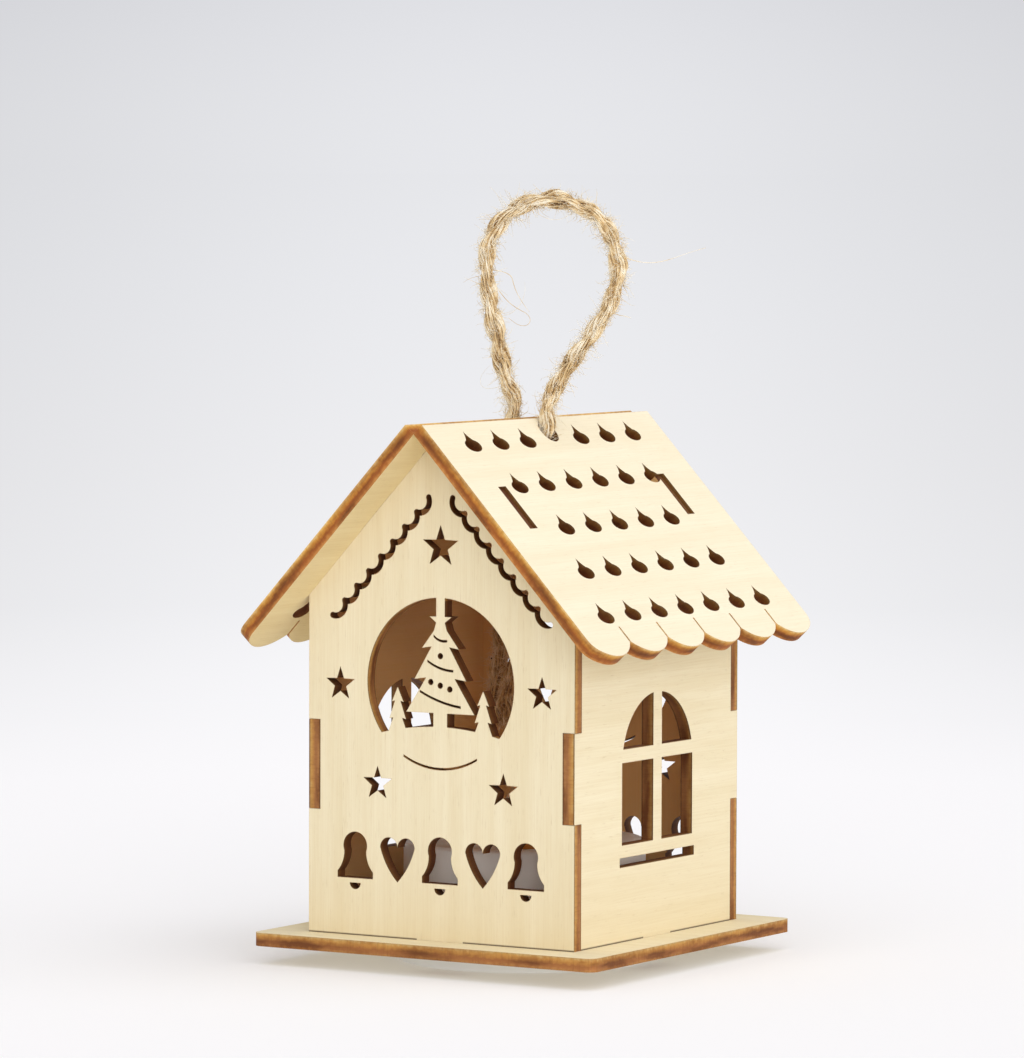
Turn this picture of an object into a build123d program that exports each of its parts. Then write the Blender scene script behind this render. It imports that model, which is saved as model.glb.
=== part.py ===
from build123d import *
import math
import os

# Small house of laser-cut plywood on a battery tealight, hung by a jute loop.
# Millimetres, +Z up. The origin is on the surface that the tealight stands on,
# in the middle of the roof's length and width. The front gable faces -Y.

# Plywood sheet
ply = 2.0
slot_play = 0.1            # a slot is this much longer and wider than its tab
overrun = 1.0              # how far a cutting shape runs past the face it cuts
kerf_width = 0.35          # a single pass of the laser

# Base plate
base_ledge = 5.5           # from the gables' outer faces to the base plate's edge
base_corner = 1.5
side_margin = 2.5          # between the tealight's hole and a side wall
gable_margin = 3.5         # between the tealight's hole and a gable

# Walls and gables
eave_rise = 12.3           # the gables' shoulders above the round window's centre
roof_pitch = 47.0          # degrees
wall_top_play = 0.1        # between a side wall's top edge and the roof
corner_tab_height = 13.4   # a side wall's tab through the gables
foot_tab_width = 8.0       # each panel's tab through the base plate
roof_tab_start = 12.4      # along the slope, from the ridge
roof_tab_length = 8.0
roof_tab_sink = 0.5        # the tabs end this much below the roof's upper face

# Round window in the gables, with a fir tree on a mound
ring_radius = 12.7
mound_edge_drop = 8.6      # the mound's ends below the ring's centre
mound_top_drop = 6.3       # the mound's top below the ring's centre
tree_width = 11.8
tree_height = 13.6
trunk_width = 2.4
trunk_height = 2.0
tree_star_radius = 2.0
tree_hanger_width = 1.5    # joins the tree's star to the ring
sapling_width = 3.8
sapling_height = 7.4
sapling_offset = 7.4       # sideways from the middle
sapling_foot_drop = 8.1    # its foot below the ring's centre
swag_drop = 0.35           # sag of the slanted thin cuts across the tree
bauble_radius = 0.45
drift_turn = 30.0          # degrees each way, of the thin cut that ends the ring

# Stars round the window
star_waist_share = 0.4     # inner radius of a star over its outer radius
crown_star_radius = 3.2
crown_star_gap = 4.3       # above the round window
small_star_radius = 2.6
upper_star_gap = 2.15      # beside the round window
upper_star_drop = 0.75     # below the window's centre
lower_star_gap = 3.404     # from the round window, towards its centre
lower_star_offset = 10.9

# Scalloped garland under each slope of a gable
garland_inset = 5.0        # from the slope, square to it
garland_start = 8.4        # along the slope, from the apex
garland_pitch = 3.07
garland_count = 8
garland_sag = 0.95         # of a scallop's middle line below its cusps
garland_width = 0.9

# Frieze of bells and hearts
frieze_foot = 7.8          # the bells' lowest point above the base plate
frieze_gap = 4.8           # from the bells up to the lower stars
frieze_pitch = 7.4
frieze_count = 5
bell_width = 6.2
bell_height = 7.6
clapper_radius = 0.95
clapper_gap = 0.7
heart_width = 6.0
heart_height = 6.6

# Arched window in the side walls
window_width = 20.7
window_bottom = 14.3       # above the base plate
window_spring = 26.0       # centre of the arch above the base plate
mullion_width = 2.5
transom_bottom = 26.45
transom_width = 2.0
sill_slot_bottom = 11.05
sill_slot_height = 1.4
sill_slot_width = 21.9

# Roof panels
roof_front_overhang = 7.5
roof_rear_overhang = 9.5
eave_overhang = 8.476      # from the walls to the cusps between scallops, along the slope
scallop_drop = 2.4
scallop_count = 6
scallop_slit = 2.7
eave_corner = 2.6
hole_row_start = 4.4
hole_row_pitch = 8.3
hole_pitch = 7.7
hole_width = 4.0
hole_bulb = 2.4            # length of the round part, along the slope
hole_tip = 2.75            # from the round part's middle to the tip

# Jute twine
twine_diameter = 2.6
twine_hole_diameter = 4.0
twine_hole_distance = 2.7  # from the ridge, along the slope
knot_top = 72.3
knot_height = 7.4
knot_radius = 4.3
knot_flat_radius = 3.1
loop_points = (
    (1.55, 0.0, 72.3), (1.55, 0.0, 76.45), (3.44, 0.0, 80.2), (2.6, 0.5, 83.5),
    (5.1, 1.5, 87.9), (8.2, 2.3, 92.4), (11.3, 3.0, 96.6), (13.3, 3.5, 101.3),
    (13.3, 3.4, 106.7), (10.5, 2.8, 111.2), (5.6, 1.7, 113.9), (0.1, 0.4, 113.8),
    (-4.6, -0.7, 111.2), (-7.0, -1.2, 106.3), (-6.9, -1.2, 100.6), (-5.6, -0.9, 95.4),
    (-4.8, -0.7, 90.6), (-3.7, -0.4, 86.7), (-2.4, -0.1, 83.4), (-3.44, 0.0, 80.2),
    (-1.55, 0.0, 76.45), (-1.55, 0.0, 72.3),
)
tail_left_points = (
    (-1.55, 0.0, 64.9), (-1.55, 0.0, 60.6), (-3.0, 0.5, 55.3), (-4.9, 0.3, 49.6),
    (-5.6, 0.9, 43.6), (-6.9, 0.6, 38.2), (-6.7, 1.0, 34.0),
)
tail_right_points = (
    (1.55, 0.0, 64.9), (1.55, 0.0, 60.6), (0.5, -0.6, 55.4), (-1.1, -0.9, 49.9),
    (-1.5, -1.6, 44.1), (-2.9, -1.7, 38.9), (-2.8, -2.1, 34.9),
)
arc_share = 0.45           # of the shorter run, taken by the arc at its end

# Tealight body
foot_width = 0.8           # the foot's flange, beyond the body
foot_height = 2.8          # the base plate rests on the foot, this high
foot_round = 0.5
body_play = 0.3            # between the body and the base plate's hole, all round
body_height = 18.0
shell_wall = 1.2
rim_width = 1.8
rim_round = 0.7
dish_depth = 1.3
dish_sag = 0.5             # of the dished top, below a straight line to the rim
flame_bore = 3.6
ledge_width = 0.7
ledge_height = 0.9

# Underside of the tealight
lid_play = 0.1
lid_bottom = 0.5
lid_thickness = 1.8
pocket_rim_gap = 3.5       # between the pocket and the shell, at the hinge's side
pocket_wall = 1.0
bridge_width = 9.2
bridge_play = 0.3          # above the strip that it holds down
bridge_thickness = 1.2
post_gap = 2.4
post_cheek = 1.0
post_width = 4.6
post_drop = 3.3            # its top below the dish

# Coin cell
cell_radius = 10.0
cell_thickness = 3.2
cell_play = 0.3
cell_lift = 0.05           # above the closed door
cell_edge = 0.25
cell_step_radius = 8.8
cell_step_height = 0.3

# Battery door
door_lap = 0.9             # over the pocket's edge
door_thickness = 1.0
door_recess = 0.2          # the door's face above the lid's underside
door_play = 0.25
hinge_cut = 1.2            # the hinge line inside the door's circle
hinge_pin_radius = 0.35
hinge_pin_play = 0.05
hinge_pin_length = 2.6     # beyond the rolled edge, across the corners' room and into the lid
latch_width = 5.0
latch_length = 1.3
latch_thickness = 0.4

# Contacts
contact_thickness = 0.3
contact_width = 3.6
contact_bow = 0.35         # from the strip's ends down to the cell
contact_overhang = 1.6     # past the pocket's wall
contact_play = 0.05

# Switch
switch_gap = 2.1           # between the pocket and the switch's plate
switch_rim_gap = 2.8       # between the switch's plate and the shell
switch_travel = 3.0
knob_length = 2.6
knob_width = 2.0
knob_bottom = 0.15
knob_play = 0.15
slide_length = 5.4
slide_width = 3.0
slide_thickness = 0.9
slide_play = 0.05

# Lamp
led_radius = 1.5
led_height = 5.2
led_flange_radius = 1.9
led_flange_height = 0.8
lead_radius = 0.25
lead_spacing = 2.54
lead_rise = 1.1            # of the wires' level runs above the bridge
lead_bend = 0.6
lead_offset = 4.4          # where the switch's lead runs, from the middle
lead_gap = 0.3             # between its end and the contact under it

# Flame
flame_height = 13.6        # above the bottom of the dish
flame_radius = 4.3
flame_lean = 0.55          # sideways lean of the tip
flame_play = 0.1
flame_collar = 1.9
flame_wall = 0.9

# Shapes that follow their own sizes, as shares of them
tree_shares = ((0, 1), (0.27, 0.7), (0.13, 0.72), (0.38, 0.36), (0.21, 0.38), (0.5, 0))
swag_shares = ((0.1, 0.8), (0.19, 0.5), (0.3, 0.14))
swag_slope_share = 0.3         # rise of a swag's left half over its length
bauble_shares = ((0, 0.62), (-0.14, 0.335), (0, 0.3), (0.14, 0.265))
bell_lip_share = 0.14      # height of the lip over the bell's height
bell_shoulder_share = 0.62     # half width at the shoulder over the lip's
bell_waist_share = 0.7
bell_shoulder_height_share = 0.52
heart_flank_share = 0.72
heart_flank_height_share = 0.42
hole_place_shares = (      # places along each row of holes, over the hole pitch
    (-3, -2, -1, 1, 2, 3),
    (-2.5, -1.5, -0.5, 0.5, 1.5, 2.5),
    (-2, -1, 0, 1, 2),
    (-2.5, -1.5, -0.5, 0.5, 1.5, 2.5),
    (-3, -2, -1, 0, 1, 2, 3),
)
hole_neck_share = 0.58     # width where the tip leaves the round part, over the hole's
hole_neck_place_share = 0.3    # how far up the tip that is
hole_hollow_share = 0.34   # width of the tip half way up, over the neck's
flame_shares = (           # height, radius and lean, over the flame's own
    (0, 0.93, 0),
    (0.28, 1, 0),
    (0.66, 0.5, 0.45),
    (1, 0.09, 1),
)

# Places that follow from the sizes
pitch_angle = math.radians(roof_pitch)
pitch_cos = math.cos(pitch_angle)
pitch_sin = math.sin(pitch_angle)
pocket_radius = cell_radius + cell_play
pocket_outer = pocket_radius + pocket_wall
cavity_radius = (pocket_rim_gap + 2 * pocket_outer + switch_gap + slide_width + switch_rim_gap) / 2
body_radius = cavity_radius + shell_wall
foot_radius = body_radius + foot_width

base_hole_radius = body_radius + body_play
house_width = 2 * (base_hole_radius + side_margin + ply)
house_depth = 2 * (base_hole_radius + gable_margin + ply)
base_side = house_depth + 2 * base_ledge
base_bottom = foot_height
base_top = base_bottom + ply

frieze_height = frieze_foot + bell_height / 2
lower_star_height = frieze_height + bell_height / 2 + frieze_gap + small_star_radius
lower_star_distance = ring_radius + lower_star_gap + small_star_radius
ring_height = lower_star_height + math.sqrt(lower_star_distance ** 2 - lower_star_offset ** 2)
upper_star_height = ring_height - upper_star_drop
upper_star_offset = ring_radius + upper_star_gap + small_star_radius
crown_star_height = ring_height + ring_radius + crown_star_gap + crown_star_radius
eave_height = ring_height + eave_rise
gable_apex = eave_height + house_width / 2 * math.tan(pitch_angle)
ridge_height = base_top + gable_apex
house_middle = (roof_front_overhang - roof_rear_overhang) / 2
front_face = house_middle - house_depth / 2
rear_face = house_middle + house_depth / 2
roof_length = roof_front_overhang + house_depth + roof_rear_overhang
roof_cusp = house_width / 2 / pitch_cos + eave_overhang
scallop_pitch = roof_length / scallop_count
corner_tab_bottom = (eave_height - corner_tab_height) / 2
mound_top = ring_height - mound_top_drop
mound_edge = ring_height - mound_edge_drop
tree_foot = mound_top + trunk_height
tree_top = tree_foot + tree_height

dish_bottom = body_height - dish_depth
dish_under = dish_bottom - shell_wall
post_top = dish_bottom - post_drop
lid_top = lid_bottom + lid_thickness
door_bottom = lid_bottom + door_recess
door_top = door_bottom + door_thickness
cell_bottom = door_top + cell_lift
cell_top = cell_bottom + cell_thickness
pocket_middle = house_middle - cavity_radius + pocket_rim_gap + pocket_outer
strip_bottom = cell_top + contact_bow
bridge_bottom = strip_bottom + contact_thickness + bridge_play
bridge_top = bridge_bottom + bridge_thickness
lead_turn_height = bridge_top + lead_rise
door_radius = pocket_radius + door_lap
hinge_distance = door_radius - hinge_cut
hinge_place = pocket_middle - hinge_distance
hinge_height = door_bottom + door_thickness / 2
hinge_half = math.sqrt(door_radius ** 2 - hinge_distance ** 2)
swing_depth = hinge_height - lid_bottom + door_play     # the corners turn inside the lid this far out
corner_half = math.sqrt(door_radius ** 2 - (hinge_distance - swing_depth) ** 2)
switch_middle = house_middle + cavity_radius - switch_rim_gap - slide_width / 2
arm_bottom = lid_top + slide_thickness + 2 * slide_play
arm_top = arm_bottom + contact_thickness


def polygon(points):
    """A flat face with straight sides."""
    return make_face(Polyline(*points, close=True))


def rectangle(left, bottom, right, top):
    """A rectangle on the sheet, from its corners."""
    middle = Location(((left + right) / 2, (bottom + top) / 2))
    return middle * Rectangle(right - left, top - bottom)


def box_between(low, high):
    """A box from its lowest corner to its highest."""
    size = [b - a for a, b in zip(low, high)]
    middle = [(a + b) / 2 for a, b in zip(low, high)]
    return Location(middle) * Box(*size)


def raised(sheet, x, y, bottom, top):
    """A flat shape moved to x, y and thickened from one height to another."""
    return Location((x, y, bottom)) * extrude(sheet, top - bottom)


def thin_cut(start, middle, end):
    """A curved cut of one pass of the laser."""
    upper = [(x, y + kerf_width) for x, y in (start, middle, end)]
    return make_face([
        ThreePointArc(start, middle, end),
        Line(end, upper[-1]),
        ThreePointArc(*reversed(upper)),
        Line(upper[0], start),
    ])


def star(x, y, radius):
    """A five-pointed star with one point up."""
    points = []
    for k in range(10):
        reach = radius * (star_waist_share if k % 2 else 1)
        turn = math.radians(90 + 36 * k)
        points.append((x + reach * math.cos(turn), y + reach * math.sin(turn)))
    return polygon(points)


def fir(x, y, width, height):
    """A fir tree of three tiers, with the middle of its foot at x, y."""
    right = [(x + width * a, y + height * b) for a, b in tree_shares]
    left = [(x - width * a, y + height * b) for a, b in reversed(tree_shares[1:])]
    return polygon(right + left)


def bell(x, y):
    """A bell with its clapper, with the bell's middle at x, y."""
    half = bell_width / 2
    low = y - bell_height / 2 + clapper_gap
    high = y + bell_height / 2
    lip = low + (high - low) * bell_lip_share
    shoulder = lip + (high - lip) * bell_shoulder_height_share
    shoulder_half = half * bell_shoulder_share
    waist_half = half * bell_waist_share
    waist = (lip + shoulder) / 2
    body = make_face([
        Line((x - half, low), (x + half, low)),
        Line((x + half, low), (x + half, lip)),
        ThreePointArc((x + half, lip), (x + waist_half, waist), (x + shoulder_half, shoulder)),
        ThreePointArc((x + shoulder_half, shoulder), (x, high), (x - shoulder_half, shoulder)),
        ThreePointArc((x - shoulder_half, shoulder), (x - waist_half, waist), (x - half, lip)),
        Line((x - half, lip), (x - half, low)),
    ])
    hang = low - clapper_gap
    clapper = Location((x, hang)) * Circle(clapper_radius)
    return body + (clapper & rectangle(x - half, hang - clapper_radius, x + half, hang))


def heart(x, y):
    """A heart with its middle at x, y."""
    lobe = heart_width / 4
    side = heart_width / 2
    high = y + heart_height / 2 - lobe
    low = y - heart_height / 2
    flank = side * heart_flank_share
    flank_height = high - (high - low) * heart_flank_height_share
    return make_face([
        ThreePointArc((x, high), (x + lobe, high + lobe), (x + side, high)),
        ThreePointArc((x + side, high), (x + flank, flank_height), (x, low)),
        ThreePointArc((x, low), (x - flank, flank_height), (x - side, high)),
        ThreePointArc((x - side, high), (x - lobe, high + lobe), (x, high)),
    ])


def slope_point(along, inset):
    """A point of a gable beside its right slope, on the sheet."""
    x = along * pitch_cos - inset * pitch_sin
    return (x, gable_apex - along * pitch_sin - inset * pitch_cos)


def garland():
    """The scalloped cut under the right slope, of one width and with round ends."""
    start = slope_point(garland_start, garland_inset)
    cut = Location(start) * Circle(garland_width / 2)
    for k in range(garland_count):
        along = garland_start + garland_pitch * (k + 1)
        middle = slope_point(along - garland_pitch / 2, garland_inset + garland_sag)
        end = slope_point(along, garland_inset)
        cut += trace(ThreePointArc(start, middle, end), garland_width)
        cut += Location(end) * Circle(garland_width / 2)
        start = end
    return cut


def round_window():
    """The round window's open parts: the ring less the mound, the tree and two saplings."""
    side = ring_radius + overrun
    below = ring_height - side
    mound = make_face([
        ThreePointArc((-side, mound_edge), (0, mound_top), (side, mound_edge)),
        Line((side, mound_edge), (side, below)),
        Line((side, below), (-side, below)),
        Line((-side, below), (-side, mound_edge)),
    ])
    half_trunk = trunk_width / 2
    half_hanger = tree_hanger_width / 2
    figure = mound + fir(0, tree_foot, tree_width, tree_height)
    figure += rectangle(-half_trunk, mound_edge, half_trunk, tree_foot + trunk_height)
    figure += star(0, tree_top, tree_star_radius)
    figure += rectangle(-half_hanger, tree_top, half_hanger, ring_height + side)
    for sign in (-1, 1):
        foot = ring_height - sapling_foot_drop
        figure += fir(sign * sapling_offset, foot, sapling_width, sapling_height)
    return Location((0, ring_height)) * Circle(ring_radius) - figure


def window_lines():
    """Thin cuts: swags and baubles on the tree, and the ring's line through the mound."""
    cuts = []
    for across, up in swag_shares:
        end = tree_width * across
        height = tree_foot + tree_height * up
        rise = end * swag_slope_share
        cuts.append(thin_cut((-end, height + rise), (0, height - swag_drop), (end, height - rise)))
    for across, up in bauble_shares:
        place = Location((tree_width * across, tree_foot + tree_height * up))
        cuts.append(place * Circle(bauble_radius))
    turn = math.radians(drift_turn)
    end = ring_radius * math.sin(turn)
    height = ring_height - ring_radius * math.cos(turn)
    cuts.append(thin_cut((-end, height), (0, ring_height - ring_radius), (end, height)))
    return cuts


def gable_outline():
    """A gable's outer edge, with its tabs and the notches for the side walls' tabs."""
    half = house_width / 2
    inner = half - ply
    notch_top = corner_tab_bottom + corner_tab_height
    foot = foot_tab_width / 2
    tab_end = roof_tab_start + roof_tab_length
    reach = ply - roof_tab_sink
    right = [
        (foot, -ply), (foot, 0), (half, 0), (half, corner_tab_bottom),
        (inner, corner_tab_bottom), (inner, notch_top), (half, notch_top), (half, eave_height),
        slope_point(tab_end, 0), slope_point(tab_end, -reach),
        slope_point(roof_tab_start, -reach), slope_point(roof_tab_start, 0),
    ]
    left = [(-x, y) for x, y in reversed(right)]
    return polygon(right + [(0, gable_apex)] + left)


def gable():
    """One gable, lying on its back."""
    sheet = gable_outline() - round_window()
    for cut in window_lines():
        sheet -= cut
    sheet -= star(0, crown_star_height, crown_star_radius)
    slit = garland()
    sheet -= slit
    sheet -= mirror(slit, about=Plane.YZ)
    for side in (-1, 1):
        sheet -= star(side * upper_star_offset, upper_star_height, small_star_radius)
        sheet -= star(side * lower_star_offset, lower_star_height, small_star_radius)
    for k in range(frieze_count):
        motif = heart if k % 2 else bell
        sheet -= motif(frieze_pitch * (k - (frieze_count - 1) / 2), frieze_height)
    return extrude(sheet, -ply)


def window():
    """The arched window's four panes and the slot under its sill."""
    half = window_width / 2
    bar = mullion_width / 2
    top = window_spring + half
    arch = Location((0, window_spring)) * Circle(half)
    opening = arch & rectangle(-half, window_spring, half, top)
    opening += rectangle(-half, window_bottom, half, window_spring)
    opening -= rectangle(-bar, window_bottom - overrun, bar, top + overrun)
    opening -= rectangle(-half - overrun, transom_bottom, half + overrun, transom_bottom + transom_width)
    slot = sill_slot_width / 2
    return opening + rectangle(-slot, sill_slot_bottom, slot, sill_slot_bottom + sill_slot_height)


def side_wall():
    """One side wall, lying on its back."""
    inner = house_depth / 2 - ply
    outer = house_depth / 2
    foot = foot_tab_width / 2
    tab_low = corner_tab_bottom + slot_play / 2
    tab_high = corner_tab_bottom + corner_tab_height - slot_play / 2
    sheet = rectangle(-inner, 0, inner, eave_height - wall_top_play)
    sheet += rectangle(-foot, -ply, foot, ply)
    sheet += rectangle(-outer, tab_low, outer, tab_high)
    return extrude(sheet - window(), -ply)


def base_plate():
    """The square base, with the tealight's hole and a slot for each foot tab."""
    middle = Location((0, house_middle))
    sheet = middle * RectangleRounded(base_side, base_side, base_corner)
    sheet -= middle * Circle(base_hole_radius)
    long_side = foot_tab_width + slot_play
    short_side = ply + slot_play
    for sign in (-1, 1):
        along = house_middle + sign * (house_depth - ply) / 2
        across = sign * (house_width - ply) / 2
        sheet -= Location((0, along)) * Rectangle(long_side, short_side)
        sheet -= Location((across, house_middle)) * Rectangle(short_side, long_side)
    return Location((0, 0, base_bottom)) * extrude(sheet, ply)


def drop_hole(along, across):
    """A drop-shaped hole with its tip up the slope."""
    neck = along - hole_tip * hole_neck_place_share
    tip = along - hole_tip
    neck_half = hole_width * hole_neck_share / 2
    hollow = (neck + tip) / 2
    hollow_half = neck_half * hole_hollow_share
    spire = make_face([
        ThreePointArc((tip, across), (hollow, across + hollow_half), (neck, across + neck_half)),
        Line((neck, across + neck_half), (neck, across - neck_half)),
        ThreePointArc((neck, across - neck_half), (hollow, across - hollow_half), (tip, across)),
    ])
    return spire + Location((along, across)) * Ellipse(hole_bulb / 2, hole_width / 2)


def roof_outline():
    """A roof panel's outer edge: X runs down the slope, Y along the ridge."""
    half = roof_length / 2
    edges = [Polyline((roof_cusp, -half), (0, -half), (0, half), (roof_cusp, half))]
    for k in range(scallop_count):
        start = half - scallop_pitch * k
        tip = (roof_cusp + scallop_drop, start - scallop_pitch / 2)
        edges.append(ThreePointArc((roof_cusp, start), tip, (roof_cusp, start - scallop_pitch)))
    corners = make_face(edges).vertices().sort_by(Axis.Y)
    ends = [v for v in (*corners[:2], *corners[-2:]) if v.X > roof_cusp / 2]
    return fillet(ends, eave_corner)


def roof_panel():
    """One roof panel, flat, with its ridge edge on X = 0."""
    sheet = roof_outline()
    for k in range(1, scallop_count):
        low = scallop_pitch * k - roof_length / 2 - kerf_width / 2
        sheet -= rectangle(roof_cusp - scallop_slit, low, roof_cusp + scallop_drop, low + kerf_width)
    half_play = slot_play / 2
    slot_low = roof_tab_start - half_play
    slot_high = roof_tab_start + roof_tab_length + half_play
    for low, high in ((front_face, front_face + ply), (rear_face - ply, rear_face)):
        sheet -= rectangle(slot_low, low - half_play, slot_high, high + half_play)
    for k, shares in enumerate(hole_place_shares):
        for share in shares:
            sheet -= drop_hole(hole_row_start + hole_row_pitch * k, hole_pitch * share)
    sheet -= Location((twine_hole_distance, 0)) * Circle(twine_hole_diameter / 2)
    return extrude(sheet, ply)


def on_gable(sign):
    """The outer face of the front (-1) or rear (1) gable."""
    face = front_face if sign < 0 else rear_face
    return Plane(origin=(0, face, base_top), x_dir=(-sign, 0, 0), z_dir=(0, sign, 0))


def on_side(sign):
    """The outer face of the left (-1) or right (1) wall."""
    face = sign * house_width / 2
    return Plane(origin=(face, house_middle, base_top), x_dir=(0, sign, 0), z_dir=(sign, 0, 0))


def right_roof():
    """The right-hand roof panel in place."""
    down_slope = (pitch_cos, 0, -pitch_sin)
    outward = (pitch_sin, 0, pitch_cos)
    return Plane(origin=(0, 0, ridge_height), x_dir=down_slope, z_dir=outward).location * roof_panel()


def corner_radii(points):
    """The largest tangent arc at each corner of a route, from its two runs and its turn."""
    radii = []
    for before, corner, after in zip(points, points[1:], points[2:]):
        run_in = Vector(*corner) - Vector(*before)
        run_out = Vector(*after) - Vector(*corner)
        half_turn = math.radians(run_in.get_angle(run_out)) / 2
        radii.append(arc_share * min(run_in.length, run_out.length) / math.tan(half_turn))
    return radii


def twine(name, points):
    """A stretch of twine along a route of straight runs and tangent arcs."""
    radii = corner_radii(points)
    path = FilletPolyline(*points, radius=radii)
    section = Plane(origin=path @ 0, z_dir=path % 0) * Circle(twine_diameter / 2)
    tube = sweep(section, path=path)
    volume = math.pi * (twine_diameter / 2) ** 2 * path.length
    print(name, "length", round(path.length, 2), "volume share", round(tube.volume / volume, 4))
    print(name, "radii in diameters", [round(radius / twine_diameter, 1) for radius in radii])
    return tube


def jute_knot():
    """The knot that stops the twine under the ridge."""
    bottom = knot_top - knot_height
    middle = knot_top - knot_height / 2
    profile = make_face([
        Polyline((knot_flat_radius, knot_top), (0, knot_top), (0, bottom), (knot_flat_radius, bottom)),
        ThreePointArc((knot_flat_radius, bottom), (knot_radius, middle), (knot_flat_radius, knot_top)),
    ])
    return revolve(Plane.XZ * profile, axis=Axis.Z)


def turned(edges, bottom):
    """A solid of revolution about the tealight's axis, from edges in radius and height."""
    solid = revolve(Plane.XZ * make_face(edges), axis=Axis.Z)
    return Location((0, house_middle, bottom)) * solid


def tealight_shell():
    """The moulded cup with its foot, rim and dished top, and the ledge that stops the lid."""
    ledge = cavity_radius - ledge_width
    rim_inner = body_radius - rim_width
    sag = (rim_inner + flame_bore) / 2, (body_height + dish_bottom) / 2 - dish_sag
    return turned([
        Polyline((cavity_radius, 0), (foot_radius, 0), (foot_radius, foot_height - foot_round)),
        JernArc((foot_radius, foot_height - foot_round), (0, 1), foot_round, 90),
        Polyline((foot_radius - foot_round, foot_height), (body_radius, foot_height),
                 (body_radius, body_height - rim_round)),
        JernArc((body_radius, body_height - rim_round), (0, 1), rim_round, 90),
        Line((body_radius - rim_round, body_height), (rim_inner, body_height)),
        ThreePointArc((rim_inner, body_height), sag, (flame_bore, dish_bottom)),
        Polyline((flame_bore, dish_bottom), (flame_bore, dish_under), (cavity_radius, dish_under),
                 (cavity_radius, lid_top + ledge_height), (ledge, lid_top + ledge_height),
                 (ledge, lid_top), (cavity_radius, lid_top), (cavity_radius, 0)),
    ], 0)


def lamp_bridge():
    """Two legs each side of the pocket, the bridge over the cell and the lamp's two cheeks."""
    half = bridge_width / 2
    strip_half = contact_width / 2 + contact_play
    low = pocket_middle - half
    high = pocket_middle + half
    bridge = box_between((-pocket_outer, low, bridge_bottom), (pocket_outer, high, bridge_top))
    for left, right in ((-pocket_outer, -pocket_radius), (pocket_radius, pocket_outer)):
        bridge += box_between((left, low, lid_top), (right, pocket_middle - strip_half, bridge_bottom))
        bridge += box_between((left, pocket_middle + strip_half, lid_top), (right, high, bridge_bottom))
    cheek = post_gap / 2 + post_cheek
    for near, far in ((-cheek, -post_gap / 2), (post_gap / 2, cheek)):
        bridge += box_between((-post_width / 2, house_middle + near, bridge_bottom),
                              (post_width / 2, house_middle + far, post_top))
    return bridge


def door_room():
    """The recess, hinge sockets and latch notch that the battery door needs."""
    reach = door_radius + overrun
    sheet = Circle(door_radius + door_play) - rectangle(-reach, -reach, reach, -hinge_distance)
    room = raised(sheet, 0, pocket_middle, 0, door_top + cell_lift)
    across = corner_half + door_play
    back = hinge_place - door_thickness / 2 - door_play
    room += box_between((-across, back, 0), (across, pocket_middle, door_top + cell_lift))
    socket_length = 2 * (hinge_half + hinge_pin_length + hinge_pin_play)
    socket = Cylinder(hinge_pin_radius + hinge_pin_play, socket_length)
    room += Location((0, hinge_place, hinge_height), (0, 90, 0)) * socket
    half_latch = latch_width / 2 + door_play
    front = pocket_middle + door_radius + latch_length + door_play
    room += box_between((-half_latch, pocket_middle, 0),
                        (half_latch, front, door_bottom + latch_thickness + door_play))
    return room


def tealight_lid():
    """The underside: door recess, battery pocket, switch slot and the lamp's bridge."""
    lid = raised(Circle(cavity_radius - lid_play), 0, house_middle, lid_bottom, lid_top)
    lid += raised(Circle(pocket_outer), 0, pocket_middle, lid_top, strip_bottom)
    lid += lamp_bridge()
    lid -= raised(Circle(pocket_radius), 0, pocket_middle, lid_bottom - overrun, bridge_bottom)
    lid -= door_room()
    notch_half = contact_width / 2 + contact_play
    lid -= box_between((-notch_half, pocket_middle, lid_top),
                       (notch_half, pocket_middle + pocket_outer + overrun, bridge_bottom))
    slot_half = (knob_length + switch_travel) / 2 + knob_play
    slot_width = knob_width / 2 + knob_play
    lid -= box_between((-slot_half, switch_middle - slot_width, lid_bottom - overrun),
                       (slot_half, switch_middle + slot_width, lid_top + overrun))
    return lid


def battery_door():
    """The round door: a rolled straight edge with two pins at its hinge, and a latch."""
    reach = door_radius + overrun
    sheet = Circle(door_radius) - rectangle(-reach, -reach, reach, -hinge_distance)
    door = raised(sheet, 0, pocket_middle, door_bottom, door_top)
    edge = Location((0, hinge_place, hinge_height), (0, 90, 0))
    door += edge * Cylinder(door_thickness / 2, 2 * hinge_half)
    door += edge * Cylinder(hinge_pin_radius, 2 * (hinge_half + hinge_pin_length))
    half_latch = latch_width / 2
    front = pocket_middle + door_radius + latch_length
    door += box_between((-half_latch, front - 2 * latch_width, door_bottom),
                        (half_latch, front, door_bottom + latch_thickness))
    return door


def coin_cell():
    """The battery, with the smaller step of its upper pole."""
    body = extrude(Circle(cell_radius), cell_thickness - cell_step_height)
    body = chamfer(body.edges().filter_by(GeomType.CIRCLE), cell_edge)
    body += raised(Circle(cell_step_radius), 0, 0, cell_thickness - cell_step_height, cell_thickness)
    return Location((0, pocket_middle, cell_bottom)) * body


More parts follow.
